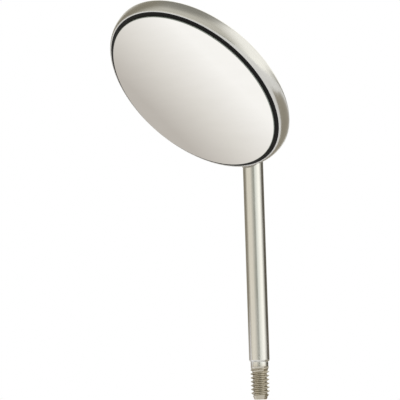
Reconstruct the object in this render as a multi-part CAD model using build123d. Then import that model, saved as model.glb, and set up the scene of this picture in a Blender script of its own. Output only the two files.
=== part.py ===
from build123d import *
import math
import os

# The screw-in head of a mouth mirror: a turned steel pan holds a front-surface glass mirror
# in a black seal, and a straight stem is welded to the pan's back. The stem ends in a
# threaded stud that screws into a handle, which is a separate article.
#
# Frame: the origin is on the stem's axis at the shoulder where the stud starts, and +Z runs
# up the stem to the head. The head leans to -Y, the mirror looks to -Y and down, and YZ is
# the plane of symmetry of all but the thread. Millimetres throughout.
# Depths in the head are counted from the mirror face towards the pan's back.

# ---- head ----
head_diameter = 24.0            # over the pan's wall, the size such heads are sold by
head_thickness = 2.30           # from the mirror face to the pan's flat back
face_angle = 41.0               # degrees, between the mirror face and the stem's axis

# ---- pan ----
pan_floor = 0.42                # thickness at the back
pan_wall = 0.53                 # thickness at the widest place
lip_drop = 0.34                 # depth of the lip's edge
lip_flat = 0.03                 # the lip's edge is blunted by this much
back_bow_depth = 0.54           # from the pan's flat back to where it is widest
back_round_width = 1.00         # the pan's outside rounds in to its flat back by this much
cavity_fillet = 0.15            # inside corner between the wall and the floor

# ---- glass, its coating and its bed ----
glass_gap = 0.46                # between the glass and the pan's wall, filled by the seal
glass_seam = 0.04               # ground edge at the front of the disc
coating_thickness = 0.02        # the reflecting layer, thicker here than the real one
adhesive_thickness = 0.18       # bed between the glass and the pan's floor

# ---- black edge seal ----
seal_drop = 0.12                # the seal starts this deep on the edge of the glass
seal_sag = 0.06                 # its face is hollow by this much between glass and lip

# ---- stem ----
stem_diameter = 2.40
stem_length = 24.2              # from the shoulder to where the axis crosses the back's plane
weld_inset = 0.35               # that point lies this far inside the rim
heel_height = 0.90              # the stem's end stands this far behind the pan's back
heel_rounding = 0.20            # on the edge of that end
shoulder_chamfer = 0.15

# ---- threaded stud: number 2 with 56 threads to the inch ----
thread_diameter = 2.18
thread_pitch = 0.4536
stud_length = 4.45              # from the shoulder to the tip
neck_diameter = 2.08            # plain band under the shoulder
neck_length = 0.58
tip_diameter = 1.43
tip_taper = 0.80                # length of the taper at the tip
run_out_turns = 2               # the groove fades out over this many turns below the neck

# the profile of a 60 degree thread, as shares of its pitch
thread_depth_share = 0.6134
crest_flat_share = 1 / 8
root_flat_share = 1 / 6
foot_depth = 0.03               # the ridge's foot is sunk this far into the core

# ---- weld ----
weld_leg = 0.22                 # of the flat-faced fillet weld, along the stem and along the pan
weld_region = 7.2               # the weld is worked out inside a cube of this side

fuzz = 0.002                    # for telling whether a point lies on a surface

# ---- places that follow from the sizes ----
head_radius = head_diameter / 2
stem_radius = stem_diameter / 2
cavity_radius = head_radius - pan_wall
widest_depth = head_thickness - back_bow_depth
glass_radius = cavity_radius - glass_gap
floor_depth = head_thickness - pan_floor
glass_back_depth = floor_depth - adhesive_thickness
back_radius = head_radius - back_round_width
thread_radius = thread_diameter / 2
thread_depth = thread_depth_share * thread_pitch
root_radius = thread_radius - thread_depth
tilt = math.radians(face_angle)

out_of_face = Vector(0, -math.cos(tilt), -math.sin(tilt))
along_face = Vector(0, math.sin(tilt), -math.cos(tilt))
weld_centre = Vector(0, 0, stem_length)
back_centre = weld_centre - along_face * (head_radius - weld_inset)
face_centre = back_centre + out_of_face * head_thickness

# local Z points out of the mirror face and local X is the row's X
head_plane = Plane(origin=face_centre, x_dir=(1, 0, 0), z_dir=out_of_face)


def point(radius, depth):
    """A point of the head's section: radius from the head's axis, depth behind the face."""
    return (radius, -depth)


def spin(*outline):
    """Turn a closed outline of the head's section about the head's axis, and place it."""
    section = Plane.XZ * make_face(outline)
    return head_plane * revolve(section, Axis.Z)


def outside_of_pan():
    """The pan's outside in section: two quarter ellipses that meet where it is widest."""
    lip_start = cavity_radius + lip_flat
    front_bow = EllipticalCenterArc(
        point(lip_start, widest_depth),
        head_radius - lip_start,
        widest_depth - lip_drop,
        start_angle=0,
        arc_size=90,
    )
    back_bow = EllipticalCenterArc(
        point(back_radius, widest_depth),
        back_round_width,
        head_thickness - widest_depth,
        start_angle=270,
        arc_size=90,
    )
    return front_bow, back_bow


def mirror_pan():
    front_bow, back_bow = outside_of_pan()
    inside = FilletPolyline(
        point(0, floor_depth),
        point(cavity_radius, floor_depth),
        point(cavity_radius, lip_drop),
        radius=cavity_fillet,
    )
    lip = Line(point(cavity_radius, lip_drop), point(cavity_radius + lip_flat, lip_drop))
    back = Line(point(back_radius, head_thickness), point(0, head_thickness))
    middle = Line(point(0, head_thickness), point(0, floor_depth))
    return spin(front_bow, back_bow, back, middle, inside, lip)


def head_envelope():
    """The head as one solid with no cavity, for what has to fit against its outside."""
    front_bow, back_bow = outside_of_pan()
    lip_start = cavity_radius + lip_flat
    top = Line(point(0, lip_drop), point(lip_start, lip_drop))
    back = Line(point(back_radius, head_thickness), point(0, head_thickness))
    middle = Line(point(0, head_thickness), point(0, lip_drop))
    return spin(front_bow, back_bow, back, middle, top)


def adhesive_bed():
    return spin(
        Polyline(
            point(0, glass_back_depth),
            point(glass_radius, glass_back_depth),
            point(glass_radius, floor_depth),
            point(0, floor_depth),
            close=True,
        )
    )


def glass_disc():
    return spin(
        Polyline(
            point(0, coating_thickness),
            point(glass_radius - glass_seam, coating_thickness),
            point(glass_radius, coating_thickness + glass_seam),
            point(glass_radius, glass_back_depth),
            point(0, glass_back_depth),
            close=True,
        )
    )


def mirror_coating():
    return spin(
        Polyline(
            point(0, 0),
            point(glass_radius - glass_seam, 0),
            point(glass_radius - glass_seam, coating_thickness),
            point(0, coating_thickness),
            close=True,
        )
    )


def edge_seal():
    """The black ring round the glass, with a hollow face from the glass down to the lip."""
    half_way = point((glass_radius + cavity_radius) / 2, (seal_drop + lip_drop) / 2 + seal_sag)
    hollow = ThreePointArc(point(glass_radius, seal_drop), half_way, point(cavity_radius, lip_drop))
    wall_side = FilletPolyline(
        point(cavity_radius, lip_drop),
        point(cavity_radius, floor_depth),
        point(glass_radius, floor_depth),
        radius=cavity_fillet,
    )
    glass_side = Line(point(glass_radius, floor_depth), point(glass_radius, seal_drop))
    return spin(hollow, wall_side, glass_side)


def stem_blank():
    """The turned stem before it is threaded, from the tip to past the pan's back."""
    tip = tip_diameter / 2
    neck = neck_diameter / 2
    taper_per_radius = tip_taper / (thread_radius - tip)
    taper_end = -stud_length + taper_per_radius * (stem_radius - tip)
    top = stem_length + stem_diameter / math.tan(tilt) + head_thickness
    outline = Polyline(
        (0, -stud_length),
        (tip, -stud_length),
        (stem_radius, taper_end),
        (stem_radius, -neck_length),
        (neck, -neck_length),
        (neck, 0),
        (stem_radius - shoulder_chamfer, 0),
        (stem_radius, shoulder_chamfer),
        (stem_radius, top),
        (0, top),
        close=True,
    )
    return revolve(Plane.YZ * make_face(outline), Axis.Z)


def thread_core():
    """What the thread's groove leaves inside: its root, widening to the crests at the neck.

    Above the neck the core is wider than the stem, so that it takes nothing off there.
    """
    bottom = -stud_length - thread_pitch
    run_out_start = -neck_length - run_out_turns * thread_pitch
    top = 2 * stem_length
    outline = Polyline(
        (0, bottom),
        (root_radius, bottom),
        (root_radius, run_out_start),
        (thread_radius, -neck_length),
        (thread_radius, -neck_length / 2),
        (stem_diameter, -neck_length / 2),
        (stem_diameter, top),
        (0, top),
        close=True,
    )
    return revolve(Plane.YZ * make_face(outline), Axis.Z)


def thread_ridge():
    """The thread's ridge: a trapezium carried up a right-hand helix, its foot sunk in the core.

    It starts below the tip and ends half a pitch below the neck, where the core is as wide.
    """
    crest_half = crest_flat_share * thread_pitch / 2
    root_half = (1 - root_flat_share) * thread_pitch / 2
    flank_slope = (root_half - crest_half) / thread_depth
    foot_half = root_half + foot_depth * flank_slope
    turns = math.ceil((stud_length - neck_length) / thread_pitch)
    start_height = -neck_length - (turns + 0.5) * thread_pitch
    helix = Helix(thread_pitch, turns * thread_pitch, root_radius, center=(0, 0, start_height))
    outline = Polyline(
        (-foot_depth, -foot_half),
        (thread_depth, -crest_half),
        (thread_depth, crest_half),
        (-foot_depth, foot_half),
        close=True,
    )
    section_plane = Plane(origin=helix @ 0, x_dir=(1, 0, 0), z_dir=(0, -1, 0))
    return sweep(section_plane * make_face(outline), path=helix, is_frenet=True)


def depth_of(place):
    """How far a point of the row lies behind the mirror face."""
    return -(place - face_centre).dot(out_of_face)


def plain_stem():
    """The stem without its thread, ended in an oblique heel and coped to the pan's outside."""
    heel_depth = head_thickness + heel_height
    reach = 2 * stem_length
    beyond = Box(reach, reach, reach, align=(Align.CENTER, Align.CENTER, Align.MAX))
    ended = stem_blank() - head_plane * Pos(0, 0, -heel_depth) * beyond
    heel_edges = ended.edges().filter_by(lambda edge: abs(depth_of(edge @ 0.5) - heel_depth) < fuzz)
    return fillet(heel_edges, heel_rounding) - head_envelope()


def stem():
    """The stem as one turned piece: the threaded core and its ridge, cut to the blank's outside."""
    return plain_stem() & (thread_core() + thread_ridge())


def is_on_seam(edge):
    """True for an edge along which the stem's round side meets the pan's outside."""
    middle = edge @ 0.5
    on_stem = abs(math.hypot(middle.X, middle.Y) - stem_radius) < fuzz
    on_pan = lip_drop < depth_of(middle) < head_thickness + fuzz
    return on_stem and on_pan


def weld_fillet():
    """The weld, a flat-faced fillet all round the place where the stem meets the pan."""
    surroundings = Pos(0, 0, stem_length) * Box(weld_region, weld_region, weld_region)
    bare_stem = plain_stem() & surroundings
    head = head_envelope() & surroundings
    joined = bare_stem + head
    seam = joined.edges().filter_by(is_on_seam)
    return chamfer(seam, weld_leg) - bare_stem - head


def save(node, shape):
    export_step(shape, f"parts/{node}.step")


os.makedirs("parts", exist_ok=True)
save("mirror_pan", mirror_pan())
save("adhesive_bed", adhesive_bed())
save("glass_disc", glass_disc())
save("mirror_coating", mirror_coating())
save("edge_seal", edge_seal())
save("stem", stem())
save("weld_fillet", weld_fillet())
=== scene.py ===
import math

import bmesh
import bpy
import numpy as np
from mathutils import Matrix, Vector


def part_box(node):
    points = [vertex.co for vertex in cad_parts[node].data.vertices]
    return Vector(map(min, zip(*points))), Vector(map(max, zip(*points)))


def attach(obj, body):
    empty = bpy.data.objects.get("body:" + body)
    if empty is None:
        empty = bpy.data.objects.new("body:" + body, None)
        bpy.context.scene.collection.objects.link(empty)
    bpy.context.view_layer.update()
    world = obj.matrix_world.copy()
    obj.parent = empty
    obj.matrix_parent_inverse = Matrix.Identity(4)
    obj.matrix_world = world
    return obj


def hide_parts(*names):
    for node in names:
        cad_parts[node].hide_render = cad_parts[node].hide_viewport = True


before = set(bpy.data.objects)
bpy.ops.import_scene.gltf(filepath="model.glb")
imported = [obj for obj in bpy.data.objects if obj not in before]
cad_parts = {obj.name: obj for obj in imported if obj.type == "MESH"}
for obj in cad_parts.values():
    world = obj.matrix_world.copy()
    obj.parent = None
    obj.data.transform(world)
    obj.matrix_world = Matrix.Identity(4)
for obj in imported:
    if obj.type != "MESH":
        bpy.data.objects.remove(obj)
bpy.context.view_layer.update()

# The screw-in head of a mouth mirror. It is put together from the pan outwards: glass, seal,
# stem, weld. Sizes are in millimetres, and mm turns them into the scene's metres.

# ---- pan ----
# A shallow dish turned from stainless steel bar, with a full round outside, a thin lip and a
# flat back. It was finished in the lathe with abrasive cloth, so fine marks run round it.
mm = 0.001
head_radius = 12.0
head_thickness = 2.30
pan_floor = 0.42
cavity_radius = head_radius - 0.53
lip_drop = 0.34
lip_flat = 0.03
back_bow_depth = 0.54
widest_depth = head_thickness - back_bow_depth
back_round = 1.00
cavity_fillet = 0.15
face_angle = math.radians(41.0)
coating_thickness = 0.02
crease = math.radians(38)

behind = np.array((0.0, math.cos(face_angle), math.sin(face_angle)))
towards_stem = np.array((0.0, math.sin(face_angle), -math.cos(face_angle)))
sideways = np.array((1.0, 0.0, 0.0))
coating_box = np.array(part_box("mirror_coating")) / mm
face_centre = coating_box.mean(axis=0) - behind * coating_thickness / 2


def arc(radius, depth, wide, deep, start, stop, points):
    """Points on an ellipse about (radius, depth): radius + wide * cos a, depth + deep * sin a."""
    angle = np.radians(np.linspace(start, stop, points))
    return np.column_stack((radius + wide * np.cos(angle), depth + deep * np.sin(angle)))


def straight(start, stop, points):
    """Evenly spaced points from start to stop, with both ends."""
    return np.linspace(start, stop, points)


def new_piece(name, points, faces):
    """A mesh object at the origin from points in millimetres, smooth up to 38 degree creases."""
    mesh = bpy.data.meshes.new(name)
    mesh.from_pydata(points * mm, [], faces)
    mesh.polygons.foreach_set("use_smooth", np.ones(len(mesh.polygons), bool))
    mesh.set_sharp_from_angle(angle=crease)
    piece = bpy.data.objects.new(name, mesh)
    bpy.context.scene.collection.objects.link(piece)
    return piece


def ring_faces(rows, steps):
    """Quads between neighbouring rings of a closed skin, and a fan of triangles at each pole.

    Point 0 is the first pole, then come rows rings of steps points, then the last pole.
    """
    here = np.arange(steps)
    after = (here + 1) % steps
    base = 1 + steps * np.arange(rows - 1)[:, None]
    quads = np.stack((base + here, base + after, base + steps + after, base + steps + here), axis=-1)
    last_ring = 1 + steps * (rows - 1)
    last_pole = 1 + steps * rows
    first_fan = [(0, b, a) for a, b in zip(1 + here, 1 + after)]
    last_fan = [(last_pole, a, b) for a, b in zip(last_ring + here, last_ring + after)]
    return first_fan + quads.reshape(-1, 4).tolist() + last_fan


def turned(name, profile, steps=288):
    """A closed outline turned about the head's axis, both of its ends on that axis.

    A point of the skin is face_centre + R * (cos a * sideways + sin a * towards_stem)
    + depth * behind. The attribute "lathe" holds (cos a, sin a, length along the outline),
    which has no seam, so marks made in the lathe can follow it.
    """
    angle = np.linspace(0, 2 * np.pi, steps, endpoint=False)
    around = np.cos(angle)[:, None] * sideways + np.sin(angle)[:, None] * towards_stem
    rings = profile[1:-1]
    skin = rings[:, 0, None, None] * around + rings[:, 1, None, None] * behind
    poles = profile[[0, -1], 1, None] * behind
    points = face_centre + np.vstack((poles[:1], skin.reshape(-1, 3), poles[1:]))
    piece = new_piece(name, points, ring_faces(len(rings), steps))
    run = np.concatenate(([0], np.cumsum(np.hypot(*np.diff(profile, axis=0).T))))
    lathe = np.empty((len(rings), steps, 3))
    lathe[..., 0] = np.cos(angle)
    lathe[..., 1] = np.sin(angle)
    lathe[..., 2] = run[1:-1, None]
    ends = np.array(((0, 0, run[0]), (0, 0, run[-1])))
    values = np.vstack((ends[:1], lathe.reshape(-1, 3), ends[1:]))
    layer = piece.data.attributes.new("lathe", "FLOAT_VECTOR", "POINT")
    layer.data.foreach_set("vector", values.ravel())
    return piece


def linear(code):
    """The linear values of an sRGB colour given as six hex digits, with alpha 1."""
    shares = np.array([int(code[i : i + 2], 16) for i in (0, 2, 4)]) / 255
    values = np.where(shares <= 0.04045, shares / 12.92, ((shares + 0.055) / 1.055) ** 2.4)
    return (*values.tolist(), 1.0)


def node(tree, kind, settings=None, stops=(), **inputs):
    """Add a node: its own settings, a ramp's stops of (place, hex colour), and its inputs.

    An input is a value or another node's socket. An underscore in its name stands for a space,
    and i3 is input number 3.
    """
    added = tree.nodes.new(kind)
    for key, value in (settings or {}).items():
        setattr(added, key, value)
    for number, (place, code) in enumerate(stops):
        elements = added.color_ramp.elements
        element = elements[number] if number < 2 else elements.new(place)
        element.position = place
        element.color = linear(code)
    for key, value in inputs.items():
        number = int(key[1:]) if key[1:].isdigit() else key.replace("_", " ")
        socket = added.inputs[number]
        if isinstance(value, bpy.types.NodeSocket):
            tree.links.new(value, socket)
        else:
            socket.default_value = value
    return added


def new_material(name):
    """An empty node material and its node tree."""
    material = bpy.data.materials.new(name)
    material.use_nodes = True
    material.node_tree.nodes.clear()
    return material, material.node_tree


def satin_turned_stainless():
    """Turned stainless steel, satin from abrasive cloth: warm grey, with fine marks round it.

    The marks are drawn 0.06 mm apart and 6 mm long, a little coarser than the real ones so that
    they show. The cloth also left broader bands, 0.7 mm apart, that are duller than the rest.
    """
    material, tree = new_material("satin_turned_stainless_steel")
    lathe = node(tree, "ShaderNodeAttribute", {"attribute_name": "lathe"}).outputs["Vector"]
    along_marks = head_radius / 6.0
    marks_at = node(tree, "ShaderNodeMapping", i0=lathe, Scale=(along_marks, along_marks, 1 / 0.06))
    marks = node(tree, "ShaderNodeTexNoise", Vector=marks_at.outputs[0], Scale=1.0, Detail=4.0)
    along_bands = head_radius / 9.0
    bands_at = node(tree, "ShaderNodeMapping", i0=lathe, Scale=(along_bands, along_bands, 1 / 0.7))
    bands = node(tree, "ShaderNodeTexNoise", Vector=bands_at.outputs[0], Scale=1.0, Detail=2.0)
    colour = node(
        tree,
        "ShaderNodeMix",
        {"data_type": "RGBA"},
        i0=marks.outputs["Fac"],
        i6=linear("CBCBCB"),
        i7=linear("EDEDED"),
    )
    roughness = node(
        tree, "ShaderNodeMapRange", Value=bands.outputs["Fac"], i1=0.3, i2=0.7, i3=0.17, i4=0.27
    )
    bump = node(
        tree, "ShaderNodeBump", Strength=0.3, Distance=0.004 * mm, Height=marks.outputs["Fac"]
    )
    steel = node(
        tree,
        "ShaderNodeBsdfPrincipled",
        Base_Color=colour.outputs[2],
        Metallic=1.0,
        Roughness=roughness.outputs[0],
        Normal=bump.outputs[0],
    )
    node(tree, "ShaderNodeOutputMaterial", Surface=steel.outputs[0])
    return material


def dress(piece, material, slot, *nodes):
    """Give a piece its material, let it ride on the part's one body, and stand for CAD nodes."""
    piece.data.materials.append(material)
    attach(piece, "root")
    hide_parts(*nodes)


lip_start = cavity_radius + lip_flat
floor_depth = head_thickness - pan_floor
back_radius = head_radius - back_round
edge_break = 0.02
outside = np.vstack(
    (
        straight((0.4, head_thickness), (back_radius - 0.2, head_thickness), 12),
        arc(back_radius, widest_depth, back_round, head_thickness - widest_depth, 90, 0, 24),
        arc(lip_start, widest_depth, head_radius - lip_start, lip_drop - widest_depth, 4, 88, 30),
    )
)
lip = arc(cavity_radius + edge_break, lip_drop + edge_break, edge_break, -edge_break, 90, 180, 5)
fillet_radius = cavity_radius - cavity_fillet
fillet_depth = floor_depth - cavity_fillet
inside = np.vstack(
    (
        straight((cavity_radius, 0.45), (cavity_radius, fillet_depth), 6),
        arc(fillet_radius, fillet_depth, cavity_fillet, cavity_fillet, 10, 90, 8),
        straight((cavity_radius - 0.4, floor_depth), (0.4, floor_depth), 6),
    )
)
pan = turned(
    "mirror_pan_shell", np.vstack(((0, head_thickness), outside, lip, inside, (0, floor_depth)))
)
dress(pan, satin_turned_stainless(), "satin_pan", "mirror_pan")

# ---- glass ----
# A disc of clear plate glass, cut round, with its front edge ground to a narrow seam. Only
# that seam and a hair of the edge show between the coating and the seal.
glass_radius = cavity_radius - 0.46
glass_seam = 0.04
glass_back = floor_depth - 0.18


def ground_glass():
    """Ground-edge soda-lime glass over its dark bed: grey-green, silky where the wheel cut it.

    The wheel's grit is 0.02 mm, drawn at 0.1 mm through the glass and 0.2 mm along its edge.
    """
    material, tree = new_material("ground_edge_plate_glass")
    lathe = node(tree, "ShaderNodeAttribute", {"attribute_name": "lathe"}).outputs["Vector"]
    along_edge = glass_radius / 0.2
    grit_at = node(tree, "ShaderNodeMapping", i0=lathe, Scale=(along_edge, along_edge, 1 / 0.1))
    grit = node(tree, "ShaderNodeTexNoise", Vector=grit_at.outputs[0], Scale=1.0, Detail=3.0)
    colour = node(
        tree,
        "ShaderNodeMix",
        {"data_type": "RGBA"},
        i0=grit.outputs["Fac"],
        i6=linear("6E7A76"),
        i7=linear("B4BFBA"),
    )
    bump = node(tree, "ShaderNodeBump", Strength=0.3, Distance=0.003 * mm, Height=grit.outputs["Fac"])
    glass = node(
        tree,
        "ShaderNodeBsdfPrincipled",
        Base_Color=colour.outputs[2],
        Roughness=0.35,
        IOR=1.52,
        Normal=bump.outputs[0],
    )
    node(tree, "ShaderNodeOutputMaterial", Surface=glass.outputs[0])
    return material


glass_profile = np.vstack(
    (
        (0, glass_back),
        straight((0.5, glass_back), (glass_radius - 0.05, glass_back), 8),
        straight((glass_radius, glass_back - 0.05), (glass_radius, coating_thickness + glass_seam), 8),
        straight((glass_radius - glass_seam / 2, coating_thickness + glass_seam / 2),
                 (glass_radius - glass_seam, coating_thickness), 2),
        straight((glass_radius - 0.3, coating_thickness), (0.5, coating_thickness), 6),
        (0, coating_thickness),
    )
)
dress(turned("glass_disc_cut", glass_profile), ground_glass(), "glass", "glass_disc")

# ---- mirror coating ----
# The reflecting layer on the front of the glass, put on in vacuum: bright, hard and almost
# free of colour. Wiping has left the faintest haze on it.


def front_surface_mirror():
    """A vacuum-deposited metal mirror: near-neutral and sharp, with a trace of wiping haze.

    The haze lies in strokes 1.2 mm wide and 5 mm long.
    """
    material, tree = new_material("front_surface_mirror_coating")
    place = node(tree, "ShaderNodeTexCoord").outputs["Object"]
    strokes_at = node(
        tree, "ShaderNodeMapping", i0=place, Scale=(1 / (5.0 * mm), 1 / (1.2 * mm), 1 / (1.2 * mm))
    )
    wiped = node(tree, "ShaderNodeTexNoise", Vector=strokes_at.outputs[0], Scale=1.0, Detail=4.0)
    colour = node(
        tree,
        "ShaderNodeMix",
        {"data_type": "RGBA"},
        i0=wiped.outputs["Fac"],
        i6=linear("F3F2EF"),
        i7=linear("F8F7F5"),
    )
    roughness = node(
        tree, "ShaderNodeMapRange", Value=wiped.outputs["Fac"], i1=0.35, i2=0.75, i3=0.01, i4=0.03
    )
    coat = node(
        tree,
        "ShaderNodeBsdfPrincipled",
        Base_Color=colour.outputs[2],
        Metallic=1.0,
        Roughness=roughness.outputs[0],
    )
    node(tree, "ShaderNodeOutputMaterial", Surface=coat.outputs[0])
    return material


coating_radius = glass_radius - glass_seam
coating_profile = np.vstack(
    (
        (0, coating_thickness),
        straight((0.5, coating_thickness), (coating_radius - 0.02, coating_thickness), 8),
        (coating_radius, coating_thickness - 0.004),
        (coating_radius, 0.004),
        straight((coating_radius - 0.004, 0), (0.5, 0), 8),
        (0, 0),
    )
)
coating = turned("mirror_coating_layer", coating_profile)
dress(coating, front_surface_mirror(), "mirror", "mirror_coating")

# ---- edge seal ----
# A bead of black sealant run round the glass with the pan turning slowly. It is a little
# hollow between the glass and the lip, and silky rather than glossy.
seal_drop = 0.12
seal_sag = 0.06


def black_sealant():
    """Cured black silicone: soft black with a low sheen and a faint unevenness along the bead.

    The unevenness is 1 mm long on the bead and 0.3 mm across it.
    """
    material, tree = new_material("cured_black_silicone")
    lathe = node(tree, "ShaderNodeAttribute", {"attribute_name": "lathe"}).outputs["Vector"]
    along_bead = cavity_radius / 1.0
    uneven_at = node(tree, "ShaderNodeMapping", i0=lathe, Scale=(along_bead, along_bead, 1 / 0.3))
    uneven = node(tree, "ShaderNodeTexNoise", Vector=uneven_at.outputs[0], Scale=1.0, Detail=3.0)
    colour = node(
        tree,
        "ShaderNodeMix",
        {"data_type": "RGBA"},
        i0=uneven.outputs["Fac"],
        i6=linear("080708"),
        i7=linear("121112"),
    )
    roughness = node(
        tree, "ShaderNodeMapRange", Value=uneven.outputs["Fac"], i1=0.3, i2=0.7, i3=0.45, i4=0.6
    )
    bump = node(tree, "ShaderNodeBump", Strength=0.4, Distance=0.01 * mm, Height=uneven.outputs["Fac"])
    rubber = node(
        tree,
        "ShaderNodeBsdfPrincipled",
        Base_Color=colour.outputs[2],
        Roughness=roughness.outputs[0],
        IOR=1.41,
        Specular_IOR_Level=0.25,
        Normal=bump.outputs[0],
    )
    node(tree, "ShaderNodeOutputMaterial", Surface=rubber.outputs[0])
    return material


def ring(name, profile, steps=288):
    """A closed outline, clear of the axis, turned about the head's axis into a ring."""
    angle = np.linspace(0, 2 * np.pi, steps, endpoint=False)
    around = np.cos(angle)[:, None] * sideways + np.sin(angle)[:, None] * towards_stem
    skin = profile[:, 0, None, None] * around + profile[:, 1, None, None] * behind
    rows = len(profile)
    row, column = np.meshgrid(np.arange(rows), np.arange(steps), indexing="ij")
    next_row = (row + 1) % rows * steps
    next_column = (column + 1) % steps
    row = row * steps
    corners = (row + column, row + next_column, next_row + next_column, next_row + column)
    quads = np.stack(corners, axis=-1)
    piece = new_piece(name, face_centre + skin.reshape(-1, 3), quads.reshape(-1, 4).tolist())
    run = np.concatenate(([0], np.cumsum(np.hypot(*np.diff(profile, axis=0).T))))
    lathe = np.empty((rows, steps, 3))
    lathe[..., 0] = np.cos(angle)
    lathe[..., 1] = np.sin(angle)
    lathe[..., 2] = run[:, None]
    layer = piece.data.attributes.new("lathe", "FLOAT_VECTOR", "POINT")
    layer.data.foreach_set("vector", lathe.ravel())
    return piece


across = np.linspace(0, 1, 13)
bead_face = np.column_stack(
    (
        cavity_radius + (glass_radius - cavity_radius) * across,
        lip_drop + (seal_drop - lip_drop) * across + 4 * seal_sag * across * (1 - across),
    )
)
bead = np.vstack(
    (
        bead_face,
        straight((glass_radius, seal_drop + 0.05), (glass_radius, floor_depth), 6),
        straight((glass_radius + 0.1, floor_depth), (fillet_radius, floor_depth), 3),
        arc(fillet_radius, fillet_depth, cavity_fillet, cavity_fillet, 80, 0, 7),
        straight((cavity_radius, floor_depth - 0.2), (cavity_radius, lip_drop + 0.05), 6),
    )
)
seal = ring("edge_seal_bead", bead)
dress(seal, black_sealant(), "seal", "edge_seal")

# ---- adhesive bed ----
# The sealant that beds the glass on the pan's floor. It doesn't show on a whole head, and its
# CAD solid has the right shape already.


def bedding():
    """The same silicone, pressed flat under the glass, so without any sheen; 1.5 mm patches."""
    material, tree = new_material("pressed_black_silicone")
    place = node(tree, "ShaderNodeTexCoord").outputs["Object"]
    patches = node(tree, "ShaderNodeTexNoise", Vector=place, Scale=1 / (1.5 * mm), Detail=3.0)
    colour = node(
        tree,
        "ShaderNodeMix",
        {"data_type": "RGBA"},
        i0=patches.outputs["Fac"],
        i6=linear("1A191A"),
        i7=linear("302E30"),
    )
    rubber = node(
        tree, "ShaderNodeBsdfPrincipled", Base_Color=colour.outputs[2], Roughness=0.6, IOR=1.41
    )
    node(tree, "ShaderNodeOutputMaterial", Surface=rubber.outputs[0])
    return material


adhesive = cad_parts["adhesive_bed"]
adhesive.data.materials.clear()
adhesive.data.materials.append(bedding())

# ---- stem ----
# One length of drawn stainless rod, turned down at the bottom for a neck and a rolled thread,
# cut off at a slant at the top and notched to sit on the pan's rim and back.
stem_radius = 1.20
stem_length = 24.2
heel_depth = head_thickness + 0.90
heel_rounding = 0.20
shoulder_chamfer = 0.15
thread_radius = 1.09
thread_pitch = 0.4536
thread_depth = 0.6134 * thread_pitch
crest_share = 1 / 16
root_share = 5 / 12
stud_length = 4.45
neck_radius = 1.04
neck_length = 0.58
tip_radius = 0.715
tip_taper = 0.80
run_out = 2 * thread_pitch
steps_round = 160
neck_corner = 0.03
shoulder_bulge = 0.02


def smooth_step(value):
    """3 v^2 - 2 v^3 for v from 0 to 1, which starts and ends level."""
    share = np.clip(value, 0, 1)
    return share * share * (3 - 2 * share)


def thread_form(angle, height):
    """Radius of the threaded stud: a right-hand ridge on its root, faded out up to the neck.

    Across one pitch the ridge falls from crest to root between the crest's and the root's half
    widths. The last turns below the neck rise to the crest, and the tip is cut to a taper.
    """
    turns = (height + neck_length) / thread_pitch - 0.5 - angle / (2 * np.pi)
    off_crest = np.abs(turns - np.round(turns))
    ridge = 1 - smooth_step(0.15 + 0.7 * (off_crest - crest_share) / (root_share - crest_share))
    ridge = np.clip((ridge - 0.06) / 0.88, 0, 1)
    root = thread_radius - thread_depth
    filled = np.clip(1 + (height + neck_length) / run_out, 0, 1)
    radius = root + thread_depth * np.maximum(ridge, filled)
    taper = tip_radius + (height + stud_length) * (thread_radius - tip_radius) / tip_taper
    return np.minimum(radius, taper)


stem_angle = np.linspace(0, 2 * np.pi, steps_round, endpoint=False)
round_x = np.cos(stem_angle)
round_y = np.sin(stem_angle)


def level_ring(radius, height):
    """A ring about Z: (r cos a, r sin a, z); r and z may change round the ring."""
    return np.column_stack((radius * round_x, radius * round_y, height + 0 * stem_angle))


def stem_rings():
    """The stem's rings from the tip to the slanted heel.

    The heel's rounding is a ball of that radius rolled round inside the stem against the
    slanted plane: centre + rounding * (a direction turned from outwards to behind).
    """
    rings = [level_ring(tip_radius * share, -stud_length) for share in (0.25, 0.5, 0.75, 0.95)]
    for height in np.linspace(-stud_length + 0.01, -neck_length - 0.012, 300):
        rings.append(level_ring(thread_form(stem_angle, height), height))
    rings.append(level_ring(neck_radius + 0.006, -neck_length))
    neck_heights = (-neck_length + 0.006, -0.4, -0.2, -0.06, -0.02)
    rings += [level_ring(neck_radius, height) for height in neck_heights]
    rings += [level_ring(neck_radius + neck_corner * share, -0.002) for share in (0.3, 0.9)]
    for share in np.linspace(0, 1, 8):
        bulge = shoulder_bulge * math.sin(math.pi * share)
        radius = stem_radius - shoulder_chamfer * (1 - share) + bulge * 0.7
        rings.append(level_ring(radius - 0.004 * (1 - share), shoulder_chamfer * share - bulge * 0.3))
    centre_radius = stem_radius - heel_rounding
    slope = behind[1] / behind[2]
    face_height = face_centre @ behind
    middle_height = (heel_depth - heel_rounding + face_height) / behind[2]
    centre_height = middle_height - slope * centre_radius * round_y
    shank_start = shoulder_chamfer + 0.05
    for share in np.linspace(0, 1, 40):
        rings.append(level_ring(stem_radius, shank_start + (centre_height - shank_start) * share))
    outwards = np.column_stack((round_x, round_y, 0 * stem_angle))
    between = np.arccos(outwards @ behind)[:, None]
    centres = level_ring(centre_radius, centre_height)
    for share in np.linspace(0, 1, 9)[1:]:
        direction = np.sin((1 - share) * between) * outwards + np.sin(share * between) * behind
        rings.append(centres + heel_rounding * direction / np.sin(between))
    middle = np.array((0, 0, (heel_depth + face_height) / behind[2]))
    rings += [middle + (rings[-1] - middle) * share for share in (0.97, 0.75, 0.5, 0.25)]
    return rings, middle


def whole_stem():
    """The stem before it is notched, closed at the tip and at the heel."""
    rings, heel_middle = stem_rings()
    tip = np.array((0, 0, -stud_length))
    points = np.vstack((tip, *rings, heel_middle))
    faces = [face[::-1] for face in ring_faces(len(rings), steps_round)]
    return new_piece("stem_turned", points, faces)


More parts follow.
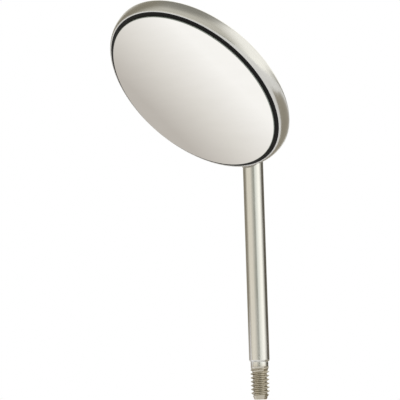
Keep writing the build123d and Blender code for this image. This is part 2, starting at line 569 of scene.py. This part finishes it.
def notch(piece, envelope):
    """Take the pan's outside away from a piece, and keep its creases crisp."""
    cut = piece.modifiers.new("notch", "BOOLEAN")
    cut.operation = "DIFFERENCE"
    cut.solver = "EXACT"
    cut.object = envelope
    depsgraph = bpy.context.evaluated_depsgraph_get()
    notched = bpy.data.meshes.new_from_object(piece.evaluated_get(depsgraph))
    piece.modifiers.clear()
    piece.data = notched
    notched.set_sharp_from_angle(angle=crease)
    bpy.data.objects.remove(envelope)


def drawn_stainless():
    """Drawn and polished stainless rod: bright, with faint lines along it where it was drawn.

    The lines are 0.08 mm apart and 4 mm long, and the polish varies in patches 1 by 6 mm. The
    thread below the neck has painted shade: its colour is a little darker and warmer, standing in
    for the shade among its ridges.
    """
    material, tree = new_material("drawn_polished_stainless_steel")
    place = node(tree, "ShaderNodeTexCoord").outputs["Object"]
    lines_at = node(
        tree, "ShaderNodeMapping", i0=place, Scale=(1 / (0.08 * mm), 1 / (0.08 * mm), 1 / (4.0 * mm))
    )
    lines = node(tree, "ShaderNodeTexNoise", Vector=lines_at.outputs[0], Scale=1.0, Detail=3.0)
    patches_at = node(
        tree, "ShaderNodeMapping", i0=place, Scale=(1 / (1.0 * mm), 1 / (1.0 * mm), 1 / (6.0 * mm))
    )
    patches = node(tree, "ShaderNodeTexNoise", Vector=patches_at.outputs[0], Scale=1.0, Detail=2.0)
    colour = node(
        tree,
        "ShaderNodeMix",
        {"data_type": "RGBA"},
        i0=lines.outputs["Fac"],
        i6=linear("D9D9D9"),
        i7=linear("EAEAEA"),
    )
    # Painted shade: below the neck the colour turns darker and warmer, for the shade in the thread.
    height = node(tree, "ShaderNodeSeparateXYZ", i0=place)
    clear_of_thread_shade = node(
        tree, "ShaderNodeMapRange", Value=height.outputs["Z"], i1=-0.9 * mm, i2=-0.2 * mm
    )
    whole = node(
        tree,
        "ShaderNodeMix",
        {"data_type": "RGBA"},
        i0=clear_of_thread_shade.outputs[0],
        i6=linear("C4BEB2"),
        i7=colour.outputs[2],
    )
    roughness = node(
        tree, "ShaderNodeMapRange", Value=patches.outputs["Fac"], i1=0.3, i2=0.7, i3=0.1, i4=0.17
    )
    bump = node(tree, "ShaderNodeBump", Strength=0.12, Distance=0.003 * mm, Height=lines.outputs["Fac"])
    steel = node(
        tree,
        "ShaderNodeBsdfPrincipled",
        Base_Color=whole.outputs[2],
        Metallic=1.0,
        Roughness=roughness.outputs[0],
        Normal=bump.outputs[0],
    )
    node(tree, "ShaderNodeOutputMaterial", Surface=steel.outputs[0])
    return material


envelope_profile = np.vstack(((0, head_thickness), outside, (lip_start, lip_drop), (0, lip_drop)))
stem_piece = whole_stem()
notch(stem_piece, turned("pan_outside", envelope_profile))
dress(stem_piece, drawn_stainless(), "satin_stem", "stem")

# ---- weld ----
# The fillet of weld metal all round where the stem meets the pan, blasted clean afterwards.


def welded_stainless():
    """Blasted stainless weld metal: greyer and duller than the stem, with a fine grain.

    The grain is 0.08 mm, coarser than the blasting grit so that it shows, and the ripples that
    the moving torch left are 0.4 mm apart.
    """
    material, tree = new_material("blasted_stainless_weld")
    place = node(tree, "ShaderNodeTexCoord").outputs["Object"]
    grain = node(tree, "ShaderNodeTexNoise", Vector=place, Scale=1 / (0.08 * mm), Detail=4.0)
    ripples = node(tree, "ShaderNodeTexNoise", Vector=place, Scale=1 / (0.4 * mm), Detail=1.0)
    colour = node(
        tree,
        "ShaderNodeMix",
        {"data_type": "RGBA"},
        i0=ripples.outputs["Fac"],
        i6=linear("979289"),
        i7=linear("B2ADA3"),
    )
    bump = node(tree, "ShaderNodeBump", Strength=0.4, Distance=0.006 * mm, Height=grain.outputs["Fac"])
    steel = node(
        tree,
        "ShaderNodeBsdfPrincipled",
        Base_Color=colour.outputs[2],
        Metallic=1.0,
        Roughness=0.36,
        Normal=bump.outputs[0],
    )
    node(tree, "ShaderNodeOutputMaterial", Surface=steel.outputs[0])
    return material


def rounded_copy(name, source):
    """A copy of a CAD node with its points merged and its sides smooth up to 38 degree creases."""
    skin = bmesh.new()
    skin.from_mesh(source.data)
    bmesh.ops.remove_doubles(skin, verts=skin.verts, dist=0.0005 * mm)
    mesh = bpy.data.meshes.new(name)
    skin.to_mesh(mesh)
    skin.free()
    mesh.materials.clear()
    mesh.polygons.foreach_set("use_smooth", np.ones(len(mesh.polygons), bool))
    mesh.set_sharp_from_angle(angle=crease)
    piece = bpy.data.objects.new(name, mesh)
    bpy.context.scene.collection.objects.link(piece)
    return piece


weld = rounded_copy("weld_bead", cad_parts["weld_fillet"])
dress(weld, welded_stainless(), "weld", "weld_fillet")

# ---- studio ----
# A pale lit table well below the head, in a soft room that is pale on the left, brightest on
# the right and dim behind. A grey card, and a glowing pale card whose grade is painted light
# falloff, show only in the steel and the mirror.


def flat_sheet(name, middle, wide, tall, material):
    """A four-cornered sheet of the stage about middle, with wide and tall as its full edges."""
    sides = ((-1, -1), (1, -1), (1, 1), (-1, 1))
    corners = [middle + x * wide / 2 + y * tall / 2 for x, y in sides]
    mesh = bpy.data.meshes.new(name)
    mesh.from_pydata([tuple(corner) for corner in corners], [], [(0, 1, 2, 3)])
    mesh.materials.append(material)
    sheet = bpy.data.objects.new(name, mesh)
    bpy.context.scene.collection.objects.link(sheet)
    return sheet


def lit_table():
    """Matt opal acrylic lit softly from below: an even near-white, with 25 mm patches."""
    material, tree = new_material("lit_opal_acrylic")
    place = node(tree, "ShaderNodeTexCoord").outputs["Object"]
    patches = node(tree, "ShaderNodeTexNoise", Vector=place, Scale=1 / (25 * mm), Detail=3.0)
    colour = node(
        tree,
        "ShaderNodeMix",
        {"data_type": "RGBA"},
        i0=patches.outputs["Fac"],
        i6=linear("E4E6EC"),
        i7=linear("E9EBF1"),
    )
    acrylic = node(
        tree,
        "ShaderNodeBsdfPrincipled",
        Base_Color=colour.outputs[2],
        Roughness=0.9,
        Emission_Color=linear("FFFDF8"),
        Emission_Strength=0.3,
    )
    node(tree, "ShaderNodeOutputMaterial", Surface=acrylic.outputs[0])
    return material


table_size = 4.0
flat_sheet(
    "table",
    np.array((0, 0, -0.06)),
    np.array((table_size, 0, 0)),
    np.array((0, table_size, 0)),
    lit_table(),
)

view_azimuth = math.radians(46.68)
view_elevation = math.radians(-3.0)
view_roll = math.radians(-1.84)
view_distance = 406.1
view_shift = (-6.98, 18.837)
view_target = (0, 0, 0.15)
turn = (
    Matrix.Rotation(view_azimuth, 4, "Z")
    @ Matrix.Rotation(math.pi / 2 - view_elevation, 4, "X")
    @ Matrix.Rotation(view_roll, 4, "Z")
)
camera_data = bpy.data.cameras.new("camera")
camera_data.sensor_width = 36.0
camera_data.lens = 36.0 * view_distance / 47.005
camera_data.clip_start = 0.01
camera = bpy.data.objects.new("camera", camera_data)
camera.matrix_world = (
    Matrix.Translation([value * mm for value in view_target])
    @ turn
    @ Matrix.Translation([value * mm for value in (*view_shift, view_distance)])
)
bpy.context.scene.collection.objects.link(camera)
bpy.context.scene.camera = camera


def in_mirror(direction):
    """A direction as the mirror turns it: what points behind the face points out of it."""
    return direction - 2 * (direction @ behind) * behind


def glowing_gradient_card(across, start, length):
    """The card that the mirror shows: a glowing sheet from warm grey to white along across, its grade a
    painted light falloff.
    """
    material, tree = new_material("glowing_light_gradient_card")
    place = node(tree, "ShaderNodeTexCoord").outputs["Object"]
    measured = node(
        tree, "ShaderNodeVectorMath", {"operation": "DOT_PRODUCT"}, i0=place, i1=tuple(across)
    )
    share = node(
        tree, "ShaderNodeMapRange", Value=measured.outputs["Value"], i1=start, i2=start + length
    )
    shade = node(
        tree,
        "ShaderNodeValToRGB",
        stops=((0.15, "BAB5AF"), (0.8, "F6F5F3"), (0.45, "DAD7D2")),
        Fac=share.outputs[0],
    )
    light = node(tree, "ShaderNodeEmission", Color=shade.outputs[0], Strength=1.09)
    node(tree, "ShaderNodeOutputMaterial", Surface=light.outputs[0])
    return material


def grey_paper():
    """Matt grey paper, with 2 mm flecks."""
    material, tree = new_material("matt_grey_paper")
    place = node(tree, "ShaderNodeTexCoord").outputs["Object"]
    flecks = node(tree, "ShaderNodeTexNoise", Vector=place, Scale=1 / (2 * mm), Detail=2.0)
    colour = node(
        tree,
        "ShaderNodeMix",
        {"data_type": "RGBA"},
        i0=flecks.outputs["Fac"],
        i6=linear("B9B3A8"),
        i7=linear("C6C0B5"),
    )
    paper = node(tree, "ShaderNodeBsdfPrincipled", Base_Color=colour.outputs[2], Roughness=0.9)
    node(tree, "ShaderNodeOutputMaterial", Surface=paper.outputs[0])
    return material


frame_of_view = np.array(camera.matrix_world)
eye = frame_of_view[:3, 3]
face_middle = face_centre * mm
sight = (face_middle - eye) / np.linalg.norm(face_middle - eye)
# The pale card glows but lights nothing. Its grey-to-white grade is painted light falloff, and it shows
# only in the mirror and the steel.
card_distance = 0.07
card_middle = face_middle + card_distance * in_mirror(sight)
card_right = in_mirror(frame_of_view[:3, 0])
card_up = in_mirror(frame_of_view[:3, 1])
card_size = 0.056
half_grading = 8 * mm
diagonal = (card_right + card_up) / math.sqrt(2)
graded = glowing_gradient_card(diagonal, card_middle @ diagonal - half_grading, 2 * half_grading)
mirrored_card = flat_sheet(
    "glowing_gradient_card", card_middle, card_right * card_size, card_up * card_size, graded
)

towards_eye = np.array((math.sin(view_azimuth), -math.cos(view_azimuth), 0))
to_the_right = np.array((-towards_eye[1], towards_eye[0], 0))
grey_card_bearing = math.radians(130)
grey_card_width = 0.3
outwards = math.cos(grey_card_bearing) * towards_eye + math.sin(grey_card_bearing) * to_the_right
level = np.cross(outwards, (0, 0, 1))
near_edge = 0.04 * outwards + np.array((0, 0, -0.058))
far_edge = 0.2 * outwards + np.array((0, 0, -0.02))
grey_card = flat_sheet(
    "grey_card", (near_edge + far_edge) / 2, grey_card_width * level, far_edge - near_edge, grey_paper()
)
for card in (mirrored_card, grey_card):
    card.visible_camera = False
    card.visible_diffuse = False
    card.visible_shadow = False

# The room: a pale wall on the left, a dim gap where the camera stands, a soft box on the right
# with dark curtain beyond it, and a grey wall behind. Bearings are degrees from the camera,
# rightwards positive. A pale ceiling is brighter over the right, and dim straight overhead.
pale_wall = "D6D0C0"
shaded_wall = "837D6E"
camera_gap = "949489"
box_edge = "D0D2C8"
soft_box = "FFFDF2"
dark_curtain = "524D43"
grey_wall = "A6A296"
wall_surfaces = (
    (-179, grey_wall),
    (179, grey_wall),
    (-150, shaded_wall),
    (-108, shaded_wall),
    (-78, pale_wall),
    (-40, pale_wall),
    (-8, camera_gap),
    (5, camera_gap),
    (12, box_edge),
    (50, soft_box),
    (66, soft_box),
    (105, dark_curtain),
    (138, dark_curtain),
)
pale_ceiling = "BAB7AB"
bright_ceiling = "F6F4EB"
ceiling_surfaces = (
    (-179, bright_ceiling),
    (179, bright_ceiling),
    (-150, shaded_wall),
    (-115, shaded_wall),
    (-85, pale_ceiling),
    (10, pale_ceiling),
    (45, bright_ceiling),
)


def round_the_room(surfaces):
    """Ramp stops from (bearing, colour) pairs: the ramp's 0 to 1 is -180 to 180 degrees."""
    return tuple(((180 + bearing) / 360, colour) for bearing, colour in surfaces)


world = bpy.data.worlds.new("studio")
bpy.context.scene.world = world
world.use_nodes = True
room = world.node_tree
room.nodes.clear()
direction = node(room, "ShaderNodeTexCoord").outputs["Generated"]
facing = node(
    room, "ShaderNodeMapping", i0=direction, Rotation=(0, 0, math.pi / 2 - view_azimuth)
)
bearing = node(room, "ShaderNodeTexGradient", {"gradient_type": "RADIAL"}, Vector=facing.outputs[0])
walls = node(
    room, "ShaderNodeValToRGB", stops=round_the_room(wall_surfaces), Fac=bearing.outputs[1]
)
ceiling = node(
    room, "ShaderNodeValToRGB", stops=round_the_room(ceiling_surfaces), Fac=bearing.outputs[1]
)
height = node(room, "ShaderNodeSeparateXYZ", i0=direction)
above = node(
    room,
    "ShaderNodeMapRange",
    {"interpolation_type": "SMOOTHSTEP"},
    Value=height.outputs["Z"],
    i1=math.sin(math.radians(4)),
    i2=math.sin(math.radians(13)),
)
lining = node(
    room,
    "ShaderNodeMix",
    {"data_type": "RGBA"},
    i0=above.outputs[0],
    i6=walls.outputs[0],
    i7=ceiling.outputs[0],
)
overhead = node(
    room,
    "ShaderNodeMapRange",
    {"interpolation_type": "SMOOTHSTEP"},
    Value=height.outputs["Z"],
    i1=math.sin(math.radians(48)),
    i2=math.sin(math.radians(72)),
)
roofed = node(
    room,
    "ShaderNodeMix",
    {"data_type": "RGBA"},
    i0=overhead.outputs[0],
    i6=lining.outputs[2],
    i7=linear("85837A"),
)
soft_light = node(room, "ShaderNodeBackground", Color=roofed.outputs[2], Strength=1.28)
backdrop = node(room, "ShaderNodeBackground", Color=linear("FFFFFF"), Strength=1.0)
path = node(room, "ShaderNodeLightPath")
seen = node(
    room,
    "ShaderNodeMixShader",
    i0=path.outputs["Is Camera Ray"],
    i1=soft_light.outputs[0],
    i2=backdrop.outputs[0],
)
node(room, "ShaderNodeOutputWorld", Surface=seen.outputs[0])

bpy.context.scene.view_settings.view_transform = "Standard"
